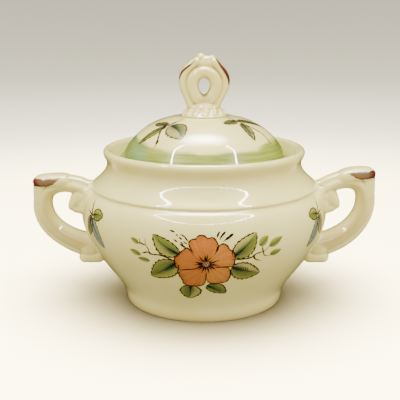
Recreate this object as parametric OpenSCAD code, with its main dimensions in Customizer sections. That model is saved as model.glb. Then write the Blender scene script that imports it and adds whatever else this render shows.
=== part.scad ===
// Covered crock with two scroll handles and an inset, lift-off lid.
// Slip-cast, glazed earthenware: a turned bowl, two handles luted to its side,
// a domed lid that drops on a ledge inside the rim, and a pierced finial luted to the lid.
// Origin: centre of the resting circle of the foot. +Z is up, +X points to the right handle.

/* [Crock] */
// Height of the crock to the top of its rim
crock_h = 81; // [67:1:98]
// Outer diameter of the rim
rim_d = 104.4; // [87:0.2:126]
// Thickness of the rounded rim
rim_t = 4.1; // [3.4:0.1:5]
// How far the neck, the waist under the rim, is set in from the rim
neck_in = 1.8; // [1.2:0.1:4]
// Height of the rim above the neck
neck_drop = 7.5; // [6:0.5:9]
// Outer diameter of the belly at its widest
belly_d = 127.8; // [118:0.2:154]
// Height from the crease under the shoulder to the top of the rim
shoulder_h = 20; // [17:0.5:24]
// Height of the crease above the widest part of the belly
crease_up = 13; // [10:0.5:16]
// Depth of the crease
crease_depth = 0.7; // [0.2:0.1:1.2]
// Thickness of the wall at the belly
wall = 4; // [3:0.1:5]
// Thickness of the wall round the lid's gallery
gallery_t = 3.2; // [2.6:0.1:4]

/* [Foot] */
// Outer diameter of the foot where it rests
foot_d = 82.6; // [70:0.2:90]
// Height of the upright foot wall
foot_h = 6; // [4:0.5:8]
// Width of the resting ring
foot_ring = 4.6; // [3:0.1:8]
// Height of the hollow under the foot
foot_hollow = 3; // [1:0.5:4]
// Thickness of the floor of the crock
floor_t = 4.6; // [3:0.1:6]

/* [Lid] */
// Depth of the lid's ledge below the rim
ledge_depth = 9; // [7:0.5:11]
// Width of the ledge
ledge_w = 5.7; // [4:0.1:7]
// Gap round the edge of the lid and round its locating flange
lid_gap = 0.7; // [0.3:0.1:1.5]
// Height of the lid above its seat
lid_h = 25; // [18:1:34]
// Thickness of the lid
lid_t = 4.2; // [3:0.1:5]
// Height of the locating flange under the lid
flange_h = 5; // [3:0.5:7]
// Thickness of the locating flange
flange_t = 3; // [2:0.1:4]

/* [Finial] */
// Height of the finial above the lid
finial_h = 32; // [26:0.5:42]
// Greatest width of the finial
finial_w = 26.4; // [22:0.2:30]
// Thickness of the finial from front to back
finial_t = 12; // [9:0.5:15]
// Diameter of the collar that is luted to the lid
collar_d = 23.6; // [20:0.2:28]

/* [Handles] */
// Reach of each handle beyond the belly
handle_reach = 26.6; // [22:0.2:34]
// Half width of the arm, seen from the front
arm_w = 5; // [4:0.1:6]
// Thickness of the arm from front to back
arm_t = 11; // [8:0.5:14]
// How far the left thumb rest is set below its nominal height, by hand
left_drop = 2.1; // [-3:0.1:3]
// How far the right thumb rest is set above its nominal height, by hand
right_lift = 2.1; // [-3:0.1:3]

/* [Hidden] */

GLAZE = "#E6DFC4";

rim_r = rim_d / 2;
neck_r = rim_r - neck_in;
belly_r = belly_d / 2;
foot_r = foot_d / 2;
foot_flare = 0.9;
foot_chamfer = 0.8;
neck_z = crock_h - neck_drop;
crease_z = crock_h - shoulder_h;
belly_z = crease_z - crease_up;

ledge_z = crock_h - ledge_depth;
ledge_t = 3;
gallery_r = neck_r - gallery_t;
bore_r = gallery_r - ledge_w;

land_r = collar_d / 2 + 0.4;
land_z = ledge_z + lid_h;
edge_t = 1.8;
lid_r = min(gallery_r, rim_r - rim_t) - lid_gap;
flange_r = bore_r - lid_gap;

round_fn = 160;
bead_fn = 20;
curve_n = 10;

// Points of a cubic Bezier curve, without its first point.
function bezier(a, b, c, d, n = curve_n) = [
    for (i = [1:n])
        let (t = i / n, s = 1 - t)
        s * s * s * a + 3 * s * s * t * b + 3 * s * t * t * c + t * t * t * d
];

// Points on an arc round a centre, both ends included.
function arc(centre, r, from, to, n = 8) = [
    for (i = [0:n])
        let (a = from + (to - from) * i / n)
        centre + r * [cos(a), sin(a)]
];

// ---- Crock ----

foot_top = [foot_r + foot_flare, foot_h];
belly = [belly_r, belly_z];
belly_rise = belly_z - foot_h;
crease_r = belly_r - 4.1;
crease_low = [crease_r, crease_z - 0.5];
crease_deep = [crease_r - crease_depth - 0.4, crease_z];
crease_high = [crease_r - 0.6, crease_z + 0.7];
neck = [neck_r, neck_z];
lip = [rim_r - rim_t / 2, crock_h - rim_t / 2];

// Outside of the crock from the foot to the start of the lip.
outer_line = concat(
    [[foot_r - foot_chamfer, 0], [foot_r, foot_chamfer], foot_top],
    bezier(
        foot_top,
        foot_top + [0.06 * (belly_r - foot_top[0]), 0.19 * belly_rise],
        belly - [0, 0.43 * belly_rise],
        belly
    ),
    bezier(belly, belly + [0, 5], crease_low + [1.9, -3.1], crease_low, 6),
    [crease_deep, crease_high],
    bezier(crease_high, crease_high + [-2.6, 2.4], neck - [0, 5], neck),
    bezier(neck, neck + [0, 2.5], lip + [rim_t / 2, -2], lip + [rim_t / 2, 0], 4)
);

floor_z = foot_hollow + floor_t;
inner_belly = [belly_r - wall, belly_z];
floor_edge = [foot_r - 11, floor_z + 0.8];
// The cove under the ledge is limited by the wall at the crease.
under_ledge = min(bore_r + 7.5, crease_r - wall - 4);

// Inside of the crock from the gallery down past the ledge to the floor.
inner_line = concat(
    [[gallery_r, ledge_z + 0.6], [gallery_r - 0.6, ledge_z]],
    [[bore_r, ledge_z], [bore_r, ledge_z - ledge_t]],
    bezier(
        [bore_r, ledge_z - ledge_t],
        [under_ledge, ledge_z - ledge_t - 2],
        inner_belly + [0, 0.5 * (ledge_z - belly_z)],
        inner_belly
    ),
    bezier(
        inner_belly,
        inner_belly - [0, 0.38 * belly_rise],
        floor_edge + [13, 5.5],
        floor_edge
    ),
    [[0, floor_z]]
);

// The crock's outer form without its hollow, used to seat the handles.
module crock_form() {
    rotate_extrude($fn = round_fn)
        polygon(concat([[0, 0]], outer_line, [[0, crock_h - rim_t / 2]]));
}

module crock_body() {
    ring_in = foot_r - foot_chamfer - foot_ring;
    color(GLAZE)
        rotate_extrude($fn = round_fn)
            polygon(concat(
                [[0, foot_hollow], [ring_in - 2, foot_hollow], [ring_in, 0]],
                outer_line,
                arc(lip, rim_t / 2, 0, 180),
                inner_line
            ));
}

// ---- Handles ----

// Centre line of the arm, from the shoulder over the crest and down to the lower root.
arm_x = belly_r + handle_reach - 0.6 - arm_w;
arm_z = belly_z + 3.5;
root_high = [belly_r - 8, crease_z - 5.5];
root_low = [belly_r - 8, belly_z - 21];
arm_line = concat(
    [root_high],
    bezier(root_high, [belly_r + 3.5, crease_z + 6], [arm_x, arm_z + 14], [arm_x, arm_z]),
    bezier([arm_x, arm_z], [arm_x, arm_z - 13.5], root_low + [15, 2], root_low)
);

// An ellipsoid: round from the front with radius w, and t thick from front to back.
module bead(p, w, t) {
    translate([p[0], 0, p[1]])
        scale([w, t / 2, w])
            sphere(1, $fn = bead_fn);
}

// A bar with one bead at each point; beads are [point, w, t].
module bar(beads) {
    for (i = [1:len(beads) - 1])
        hull()
            for (b = [beads[i - 1], beads[i]])
                bead(b[0], b[1], b[2]);
}

// A solid with one bead at each of its corners.
module pad(beads) {
    hull()
        for (b = beads)
            bead(b[0], b[1], b[2]);
}

// Beads of a handle whose thumb rest is set higher or lower by lift. The shift fades out
// towards the shoulder and the lower root, where the handle is luted on.
function set_by_hand(beads, lift) = [
    for (b = beads)
        let (
            out = min(1, max(0, (b[0][0] - belly_r + 6) / 20)),
            up = min(1, max(0, (b[0][1] - root_low[1]) / 38))
        )
        [b[0] + [0, lift * out * up], b[1], b[2]]
];

// Half width along the arm: slimmest at the crest, widest at the lower root.
function arm_width(u) = arm_w + (u > 0.4 ? 3.2 * (u - 0.4) : -0.3);

module handle(lift) {
    last = len(arm_line) - 1;
    tip = [belly_r + handle_reach - 2.8, arm_z + 12.6];
    arm = [for (i = [0:last]) [arm_line[i], arm_width(i / last), arm_t]];
    // thumb rest, a leaf tip that runs on outwards from the crest
    thumb_rest = [
        [[belly_r + 10, crease_z + 3], arm_w - 0.9, arm_t + 1],
        [tip + [-6.6, -1.3], arm_w - 0.6, arm_t + 2],
        [tip + [-1.9, -1.8], arm_w - 1.8, arm_t + 1],
        [tip, 1.6, arm_t - 2]
    ];
    web = [[tip + [-1.9, -2.6], arm_w - 2, arm_t], [[arm_x + 0.2, arm_z + 2], arm_w, arm_t]];
    // curl that hangs from the upper root into the finger loop
    curl = [
        [[belly_r + 0.4, crease_z - 4.6], 4.2, arm_t],
        [[belly_r + 4.7, belly_z + 1.9], 2.1, arm_t - 2],
        [[belly_r - 2, belly_z + 0.9], 3.8, arm_t]
    ];
    // stepped pad under the lower root
    foot_pad = [
        [[belly_r + 2, belly_z - 26.4], 3.3, arm_t + 1],
        [[belly_r - 9, belly_z - 25.5], 3.8, arm_t + 2],
        [[belly_r - 4, belly_z - 19], 6.6, arm_t + 2]
    ];
    difference() {
        union() {
            bar(set_by_hand(arm, lift));
            bar(set_by_hand(thumb_rest, lift));
            bar(set_by_hand(web, lift));
            pad(set_by_hand(curl, lift));
            pad(foot_pad);
        }
        crock_form();
    }
}

module right_handle() {
    color(GLAZE) handle(right_lift);
}

module left_handle() {
    color(GLAZE) mirror([1, 0, 0]) handle(-left_drop);
}

// ---- Lid ----

// Outside of the lid from the seat to the flat land under the finial.
dome_start = [lid_r - 0.5, ledge_z + edge_t];
lid_line = concat(
    [[lid_r - 0.4, ledge_z], [lid_r, ledge_z + 0.5], [lid_r, ledge_z + edge_t - 0.5]],
    [dome_start],
    bezier(
        dome_start,
        [lid_r - 8, ledge_z + 0.36 * lid_h],
        [lid_r - 10, land_z - 3.5],
        [land_r, land_z],
        14
    ),
    [[0, land_z]]
);

// Inside of the lid from the crown down to the foot of the locating flange.
flange_in = flange_r - flange_t;
lid_inner_line = concat(
    [[0, land_z - lid_t]],
    bezier(
        [0, land_z - lid_t],
        [flange_in - 5.8, land_z - lid_t - 1.8],
        [flange_in + 0.2, ledge_z + 0.4 * lid_h],
        [flange_in, ledge_z]
    ),
    [[flange_in, ledge_z - flange_h], [flange_r, ledge_z - flange_h], [flange_r, ledge_z]]
);

module lid() {
    color(GLAZE)
        rotate_extrude($fn = round_fn)
            polygon(concat(lid_line, lid_inner_line));
}

// ---- Finial ----

// One side of the pierced loop, from the collar up to the bump at the top.
loop_r = finial_w / 2 - 4.6;
loop_side = [
    [[0.5 * loop_r, 4.4], 4.5, finial_t + 1],
    [[0.75 * loop_r, 8], 4.4, finial_t],
    [[0.96 * loop_r, 0.39 * finial_h], 4.6, finial_t],
    [[loop_r, 0.51 * finial_h], 4.6, finial_t],
    [[0.9 * loop_r, 0.62 * finial_h], 4.8, finial_t],
    [[0.62 * loop_r, 0.74 * finial_h], 4.6, finial_t - 1],
    [[0.34 * loop_r, finial_h - 3.5], 3.5, finial_t - 2]
];
loop_top = [[0, finial_h - 7.6], 4.9, finial_t - 1];

module lid_finial() {
    color(GLAZE)
        translate([0, 0, land_z])
            difference() {
                union() {
                    for (side = [0, 1])
                        mirror([side, 0, 0]) {
                            bar(loop_side);
                            bar([loop_side[5], loop_top]);
                        }
                    pad([for (x = [-1, 1]) [[x * 0.45 * loop_r, 5], 5.1, finial_t]]);
                    cylinder(h = 4.4, d1 = collar_d, d2 = 0.7 * collar_d, $fn = 48);
                }
                translate([-finial_w, -finial_w, -finial_w])
                    cube([2 * finial_w, 2 * finial_w, finial_w]);
            }
}

crock_body();
left_handle();
right_handle();
lid();
lid_finial();
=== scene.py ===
# %% [markdown]
# # A painted earthenware covered crock
# The real crock is five clay castings: a bowl, two scroll handles, a domed lid and a pierced finial.
# They were luted together while damp, painted with ceramic colours, dipped in a cream glaze and fired.
# Each casting becomes one smooth surface here, worked out with numpy inside its own measured solid.

# %% Load the measured frame
import math
import bpy
import numpy as np
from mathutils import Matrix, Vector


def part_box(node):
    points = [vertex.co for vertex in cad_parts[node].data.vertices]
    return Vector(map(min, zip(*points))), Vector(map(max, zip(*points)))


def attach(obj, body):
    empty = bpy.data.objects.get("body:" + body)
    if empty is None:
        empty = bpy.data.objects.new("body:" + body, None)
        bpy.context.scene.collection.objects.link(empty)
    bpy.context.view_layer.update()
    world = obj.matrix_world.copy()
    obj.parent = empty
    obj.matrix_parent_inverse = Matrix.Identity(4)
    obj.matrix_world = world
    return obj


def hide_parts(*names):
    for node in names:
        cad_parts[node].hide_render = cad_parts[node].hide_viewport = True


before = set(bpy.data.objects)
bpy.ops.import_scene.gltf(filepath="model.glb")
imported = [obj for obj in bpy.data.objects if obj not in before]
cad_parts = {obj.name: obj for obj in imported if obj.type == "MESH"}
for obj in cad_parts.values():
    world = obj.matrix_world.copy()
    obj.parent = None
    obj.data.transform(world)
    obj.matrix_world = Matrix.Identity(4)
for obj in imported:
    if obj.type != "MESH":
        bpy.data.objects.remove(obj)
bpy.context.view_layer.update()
MM = 0.001

# %% [markdown]
# ## Small helpers
# Colours are written as everyday sRGB hex values and turned to the linear values that light adds up in.
# A node tree is built with one helper that adds a node, sets it and wires it.

# %% Colour and node helpers
def linear(hex_colour):
    """sRGB to linear: below 0.04045 divide by 12.92, above it ((c + 0.055) / 1.055) to the power 2.4."""
    c = np.array([int(hex_colour[i:i + 2], 16) for i in (1, 3, 5)]) / 255
    return np.where(c <= 0.04045, c / 12.92, ((c + 0.055) / 1.055) ** 2.4)


def rgba(hex_colour):
    return (*linear(hex_colour), 1.0)


def add_node(tree, kind, links=(), inputs=(), **settings):
    """Adds one node, sets its properties and input values, then links (socket, source socket) pairs."""
    node = tree.nodes.new(kind)
    for key, value in settings.items():
        setattr(node, key, value)
    for key, value in dict(inputs).items():
        node.inputs[key].default_value = value
    for key, source in links:
        tree.links.new(source, node.inputs[key])
    return node


def set_ramp(node, stops):
    """Gives a colour ramp its stops, each a place from 0 to 1 and a linear colour."""
    ramp = node.color_ramp
    while len(ramp.elements) < len(stops):
        ramp.elements.new(0.5)
    for element, (place, colour) in zip(ramp.elements, stops):
        element.position = place
        element.color = colour
    return node


print("mid grey in linear light", np.round(linear("#808080"), 3))

# %% [markdown]
# ## From an array to a mesh
# Every piece is a grid of points, a function of two parameters. One helper stitches such grids into faces,
# closes the round ones and fills a pole with a fan of triangles, so nothing is left open.

# %% Grid and mesh helpers
def grid_faces(rows, cols, wrap, start=0):
    """Quads between neighbouring rows and columns; with wrap the last column joins the first."""
    i, j = np.meshgrid(np.arange(rows - 1), np.arange(cols if wrap else cols - 1), indexing="ij")
    k = (j + 1) % cols
    quads = np.stack([i * cols + j, i * cols + k, (i + 1) * cols + k, (i + 1) * cols + j], -1)
    return quads.reshape(-1, 4) + start


def fan_faces(ring, centre, flip):
    """Triangles from a ring of point numbers to one centre point."""
    after = np.roll(ring, -1)
    tri = np.stack([ring, after, np.full_like(ring, centre)], -1)
    return tri[:, ::-1] if flip else tri


def make_mesh(name, points, face_sets, colours=None, layers=None):
    """Puts whole arrays into a mesh: points in metres, faces as lists of equal-length index arrays."""
    mesh = bpy.data.meshes.new(name)
    loops = np.concatenate([f.reshape(-1) for f in face_sets]).astype(np.int32)
    sizes = np.concatenate([np.full(len(f), f.shape[1]) for f in face_sets]).astype(np.int32)
    mesh.vertices.add(len(points))
    mesh.vertices.foreach_set("co", np.asarray(points, np.float32).ravel())
    mesh.loops.add(len(loops))
    mesh.loops.foreach_set("vertex_index", loops)
    mesh.polygons.add(len(sizes))
    mesh.polygons.foreach_set("loop_start", np.concatenate([[0], np.cumsum(sizes)[:-1]]).astype(np.int32))
    mesh.update(calc_edges=True)
    mesh.validate()
    mesh.shade_smooth()
    if colours is not None:
        paint_colours(mesh, "paint", colours)
    for layer, values in (layers or {}).items():
        paint_values(mesh, layer, values)
    obj = bpy.data.objects.new(name, mesh)
    bpy.context.scene.collection.objects.link(obj)
    print(f"{name}: {len(points)} points, {len(sizes)} faces")
    return obj


def paint_colours(mesh, layer, colours):
    """One linear colour a point, as a colour layer of the mesh."""
    data = np.concatenate([colours, np.ones((len(colours), 1))], 1).astype(np.float32)
    mesh.color_attributes.new(layer, "FLOAT_COLOR", "POINT").data.foreach_set("color", data.ravel())


def paint_values(mesh, layer, values):
    """One number a point, as a named value of the mesh that a material can read."""
    mesh.attributes.new(layer, "FLOAT", "POINT").data.foreach_set("value", values.astype(np.float32))


def mesh_points(mesh):
    points = np.empty(len(mesh.vertices) * 3, np.float32)
    mesh.vertices.foreach_get("co", points)
    return points.reshape(-1, 3).astype(float)


def mesh_normals(mesh):
    normals = np.empty(len(mesh.vertices) * 3, np.float32)
    mesh.vertices.foreach_get("normal", normals)
    return normals.reshape(-1, 3).astype(float)


def bezier(a, b, c, d, n=24):
    """Cubic curve: the four points weighted by s^3, 3s^2t, 3st^2 and t^3, where s = 1 - t."""
    t = np.linspace(0, 1, n + 1)[:, None]
    s = 1 - t
    a, b, c, d = (np.asarray(p, float) for p in (a, b, c, d))
    return s**3 * a + 3 * s * s * t * b + 3 * s * t * t * c + t**3 * d


def along(points, count=None, step=None):
    """Evenly spaced points along a polyline, by linear interpolation on its running length."""
    run = np.concatenate([[0], np.cumsum(np.linalg.norm(np.diff(points, axis=0), axis=1))])
    keep = np.concatenate([[True], np.diff(run) > 1e-9])
    count = count or int(run[-1] / step) + 2
    at = np.linspace(0, run[-1], count)
    return np.stack([np.interp(at, run[keep], points[keep, k]) for k in range(points.shape[1])], 1)


def ease_line(points, count):
    """An even, smooth line through points: Catmull-Rom spans, then equal steps."""
    p = np.asarray(points, float)
    p = np.concatenate([2 * p[:1] - p[1:2], p, 2 * p[-1:] - p[-2:-1]])
    t = np.linspace(0, 1, 12, endpoint=False)[None, :, None]
    a, b, c, d = (p[i:len(p) - 3 + i][:, None] for i in range(4))
    line = 0.5 * (2 * b + (c - a) * t + (2 * a - 5 * b + 4 * c - d) * t**2 + (3 * b - a - 3 * c + d) * t**3)
    return along(np.concatenate([line.reshape(-1, 2), p[-2:-1]]), count)


def soften(line, radius, step=0.12):
    """Rounds a profile's corners as glaze does: a Gaussian average along its length, ends held."""
    fine = along(line, step=step)
    reach = int(4 * radius / step)
    kernel = np.exp(-0.5 * (np.arange(-reach, reach + 1) * step / radius) ** 2)
    kernel /= kernel.sum()
    ends = 2 * fine[:1] - fine[reach:0:-1], 2 * fine[-1:] - fine[-2:-reach - 2:-1]
    padded = np.concatenate([ends[0], fine, ends[1]])
    return np.stack([np.convolve(padded[:, k], kernel, "valid") for k in range(2)], 1)


def thin_out(line, coarse, fine_turn):
    """Keeps more points where a profile bends: spacing falls from coarse towards fine_turn radians a step."""
    step = np.diff(line, axis=0)
    length = np.linalg.norm(step, axis=1)
    heading = np.unwrap(np.arctan2(step[:, 1], step[:, 0]))
    turn = np.abs(np.gradient(heading))
    weight = np.concatenate([[0], np.cumsum(length / coarse + turn / fine_turn)])
    at = np.linspace(0, weight[-1], int(weight[-1]) + 2)
    return np.stack([np.interp(at, weight, line[:, k]) for k in range(2)], 1)


print("helpers ready")

# %% [markdown]
# ## The bowl's profile
# A slip-cast bowl is a turned form, so its shape is one closed line of radius and height carried round the
# upright axis. The line is drawn here in millimetres with cubic curves, from under the foot, up the outside,
# over the rounded lip and down the inside. Its key heights come from the node's own box.

# %% Bowl profile
BELLY_R, _, RIM_Z = np.array(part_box("crock_body")[1]) / MM
RIM_R, NECK_R, FOOT_R, LEDGE_R, INSIDE_R = 52.2, 50.4, 41.3, 41.5, 59.9
HOLLOW_Z, FLOOR_Z, LEDGE_Z, NECK_Z = 3, 7.6, 72, 73.5
LIP_R = 2.05
LIP = np.array([RIM_R - LIP_R, RIM_Z - LIP_R])
GLAZE_ROUNDING = 0.55
crease_z = RIM_Z - 20
belly = np.array([BELLY_R, crease_z - 13])
lip_angle = np.linspace(0, math.pi, 15)[:, None]
# the crease is a shallow valley, rounded far more by the mould and the glaze than any other corner
shoulder = soften(np.concatenate([
    bezier(belly, belly + [0, 5.6], [BELLY_R - 1.6, crease_z - 2.9], [BELLY_R - 4.3, crease_z - 1.0], 24),
    [[BELLY_R - 6.5, crease_z]],
    bezier([BELLY_R - 4.6, crease_z + 0.9], [BELLY_R - 7.3, crease_z + 3.1],
           [NECK_R, 68.5], [NECK_R, NECK_Z], 40),
]), 0.8)
outside = np.concatenate([
    [[FOOT_R - 0.8, 0], [FOOT_R, 0.8]],
    bezier([42.2, 6], [43.5, 14], belly - [0, 18.1], belly, 60)[:-1],
    shoulder,
    bezier([NECK_R, NECK_Z], [NECK_R, 76], LIP + [LIP_R, -2], LIP + [LIP_R, 0], 16)[1:],
    LIP + LIP_R * np.concatenate([np.cos(lip_angle), np.sin(lip_angle)], 1),
])
inside = np.concatenate([
    [[47.2, LEDGE_Z + 0.6], [46.6, LEDGE_Z], [LEDGE_R, LEDGE_Z], [LEDGE_R, 69]],
    bezier([LEDGE_R, 69], [49, 67], [INSIDE_R, 60], [INSIDE_R, 48], 40),
    bezier([INSIDE_R, 48], [INSIDE_R, 32], [43.3, 13.9], [30.3, 8.4], 40),
    [[0, FLOOR_Z]],
])
under_foot = [[0, HOLLOW_Z], [33.9, HOLLOW_Z], [35.9, 0]]
bowl_line = soften(np.concatenate([under_foot, outside, inside]), GLAZE_ROUNDING)
bowl_line[0], bowl_line[-1] = (0, HOLLOW_Z), (0, FLOOR_Z)
print("profile length, mm", round(float(np.linalg.norm(np.diff(bowl_line, axis=0), axis=1).sum())))


TURN_COLS = 256
OVAL, OVAL_TURN, OVAL_FULL_R = 0.0009, 0.7, 60


def oval(a, reach=1.0):
    """The faint oval of a hand-finished pot: radius times 1 - OVAL (1 + cos(2a + OVAL_TURN)) reach."""
    return 1 - OVAL * (1 + np.cos(2 * a + OVAL_TURN)) * reach


def turn_profile(line, cols=TURN_COLS):
    """Lathe: each profile point (r, z) goes to (r cos a, r sin a, z), with the oval fading to the middle."""
    a = np.linspace(0, 2 * math.pi, cols, endpoint=False)
    r, z = line[1:-1, :1], line[1:-1, 1:]
    wobble = oval(a[None], np.clip(r / OVAL_FULL_R, 0, 1))
    ring = np.stack([r * wobble * np.cos(a), r * wobble * np.sin(a), z + 0 * a[None]], -1)
    points = np.concatenate([ring.reshape(-1, 3), [[0, 0, line[0, 1]], [0, 0, line[-1, 1]]]])
    rows = len(line) - 2
    first, last = np.arange(cols), np.arange(cols) + (rows - 1) * cols
    faces = [grid_faces(rows, cols, True), fan_faces(first, rows * cols, True),
             fan_faces(last, rows * cols + 1, False)]
    return points, faces


# %% [markdown]
# ## The glaze
# The cream glaze is a glassy coat on a pale, slightly warm body. It breaks a little darker where it pools in
# hollows and paler where it thins over edges. Two layers say this: a soft body and a clear, sharp coat.
# Fired glaze has an index of refraction of about 1.5. Pooling with painted shade, stain and bare clay are values
# painted on the mesh itself; a piece without one of them reads it as nought. The pool and shade value deepens
# the cream to amber where glaze pools, and also as painted shade in hollows, creases and the neck.

# %% Glaze materials
CREAM, CREAM_THIN, AMBER, BARE_CLAY = "#E6D87C", "#EDE090", "#AE9344", "#D6C6A8"
BODY_ROUGHNESS, CLAY_ROUGHNESS, COAT_WEIGHT = 0.32, 0.8, 0.9
COAT = {"Coat Weight": COAT_WEIGHT, "Coat Roughness": 0.035, "Coat IOR": 1.5}


def start_material(name, uniform):
    """A new material, its node tree and its shader, with the shader's uniform values set."""
    material = bpy.data.materials.new(name)
    material.use_nodes = True
    shader = material.node_tree.nodes["Principled BSDF"]
    for socket, value in uniform.items():
        shader.inputs[socket].default_value = value
    return material, material.node_tree, shader


def glaze_tree(name):
    """Starts a glazed earthenware material; also returns its cream colour and its coordinates as sockets."""
    material, tree, shader = start_material(
        name, {"Roughness": BODY_ROUGHNESS, "IOR": 1.5, "Specular IOR Level": 0.2, **COAT})
    where = add_node(tree, "ShaderNodeTexCoord").outputs["Object"]
    # cloudiness of a dipped glaze, 18 mm across, with 3 mm flecks in it
    cloud = add_node(tree, "ShaderNodeTexNoise", [("Vector", where)], {"Scale": 55.0, "Detail": 3.0})
    cream = set_ramp(add_node(tree, "ShaderNodeValToRGB", [("Fac", cloud.outputs["Fac"])]),
                     [(0.3, rgba(CREAM)), (0.75, rgba(CREAM_THIN))])
    # a very low swell of the glaze, 7 mm across and some microns high, bends the reflections
    swell = add_node(tree, "ShaderNodeTexNoise", [("Vector", where)], {"Scale": 140.0, "Detail": 1.0})
    bump = add_node(tree, "ShaderNodeBump", [("Height", swell.outputs["Fac"])],
                    {"Strength": 0.05, "Distance": 0.0004})
    tree.links.new(bump.outputs["Normal"], shader.inputs["Normal"])
    tree.links.new(bump.outputs["Normal"], shader.inputs["Coat Normal"])
    return material, tree, shader, cream.outputs["Color"], where


def attribute_socket(tree, layer, out="Fac"):
    """A layer painted on the mesh, as a socket."""
    return add_node(tree, "ShaderNodeAttribute", attribute_name=layer).outputs[out]


def mixed(tree, factor, first, second):
    """Mixes two colours; each is a socket or a linear colour, and so is the factor."""
    mix = add_node(tree, "ShaderNodeMix", data_type="RGBA")
    for socket, value in ((mix.inputs[0], factor), (mix.inputs[6], first), (mix.inputs[7], second)):
        if isinstance(value, bpy.types.NodeSocket):
            tree.links.new(value, socket)
        else:
            socket.default_value = value
    return mix.outputs[2]


def wipe_bare(tree, shader, colour):
    """Where the mesh's bare value is 1 the glaze was wiped off for firing: pale, rough earthenware."""
    bare = attribute_socket(tree, "bare")
    tree.links.new(mixed(tree, bare, colour, rgba(BARE_CLAY)), shader.inputs["Base Color"])
    for name, glazed, clay in (("Roughness", BODY_ROUGHNESS, CLAY_ROUGHNESS), ("Coat Weight", COAT_WEIGHT, 0.0)):
        value = add_node(tree, "ShaderNodeMapRange", [("Value", bare)], {"To Min": glazed, "To Max": clay})
        tree.links.new(value.outputs["Result"], shader.inputs[name])


def cream_glaze(name):
    """Cream glaze that deepens to amber by the mesh's pool and shade value, glaze pooling with painted shade, and
    takes brown stain by its stain value.
    """
    material, tree, shader, cream, where = glaze_tree(name)
    # the pool and shade value deepens the cream towards amber: glaze pooling with painted shade
    pool_and_shade_tone = mixed(tree, attribute_socket(tree, "pool_and_shade"), cream, rgba(AMBER))
    # brush streaks in the stain, 1.5 mm apart
    streak = add_node(tree, "ShaderNodeTexNoise", [("Vector", where)], {"Scale": 320.0, "Detail": 2.0})
    brown = set_ramp(add_node(tree, "ShaderNodeValToRGB", [("Fac", streak.outputs["Fac"])]),
                     [(0.30, rgba("#36130A")), (0.75, rgba("#6B2F22"))])
    wipe_bare(tree, shader, mixed(tree, attribute_socket(tree, "stain"), pool_and_shade_tone, brown.outputs["Color"]))
    return material


glazed_cream = cream_glaze("cream_glaze_on_slipcast_earthenware")
print("glaze ready")

# %% [markdown]
# ## The bowl
# A lathe surface is the right tool for a turned form: one closed skin with its wall, foot and lip. The ring it
# was fired on is wiped bare.

# %% Bowl
PROFILE_STEP, PROFILE_TURN = 1.6, 0.11
points, faces = turn_profile(thin_out(bowl_line, PROFILE_STEP, PROFILE_TURN))
height, radius = points[:, 2], np.hypot(points[:, 0], points[:, 1])
# painted shade: the glaze is deepened towards amber in the hollow of the neck under the rim, and in the crease
# and where the belly runs into the foot, where glaze also pools
pool_and_shade = 0.75 * np.exp(-np.clip(height - 1, 0, None) / 2.6) * (radius > 40)
for amount, middle, reach, outside_of in ((0.22, crease_z, 1.4, 56), (0.24, 74.0, 5.5, 49.5)):
    pool_and_shade += amount * np.exp(-((height - middle) / reach) ** 2) * (radius > outside_of)
bare = ((height < 0.5) & (radius > 30)) * 1.0
bowl = make_mesh("glazed_bowl", points * MM, faces, layers={"pool_and_shade": pool_and_shade, "stain": 0 * pool_and_shade, "bare": bare})
bowl.data.materials.append(glazed_cream)
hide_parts("crock_body")
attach(bowl, "crock")

# %% [markdown]
# ## The lid
# The lid is turned as well: a dome with a rounded edge that drops inside the rim, hollow beneath, with a
# flange that keeps it centred. The green band round it was dabbed on with a wet brush in streaks that run
# round the dome, heaviest at the edge. The material paints it by height, with noise stretched sideways, on the
# dome only: the flange stays cream and the face that rests on the ledge is wiped bare.

# %% Lid
LID_R, _, LAND_Z = np.array(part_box("lid")[1]) / MM
SEAT_Z, UNDER_Z, FLANGE_R, SEAT_R = LAND_Z - 25, LAND_Z - 4.2, 37.8, 40.8
BAND_TOP = 84.6
lid_line = soften(np.concatenate([
    [[0, UNDER_Z]],
    bezier([0, UNDER_Z], [32, 91], [38, 82], [FLANGE_R, SEAT_Z], 40),
    [[FLANGE_R, 67], [SEAT_R, 67], [SEAT_R, SEAT_Z], [LID_R - 0.4, SEAT_Z], [LID_R, 72.5], [LID_R, 73.3]],
    bezier([LID_R - 0.5, 73.8], [38.5, 81], [36.5, 93.5], [12.2, LAND_Z], 60),
    [[0, LAND_Z]],
]), 0.3)
lid_line[0], lid_line[-1] = (0, UNDER_Z), (0, LAND_Z)
points, faces = turn_profile(thin_out(lid_line, PROFILE_STEP, PROFILE_TURN))


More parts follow.
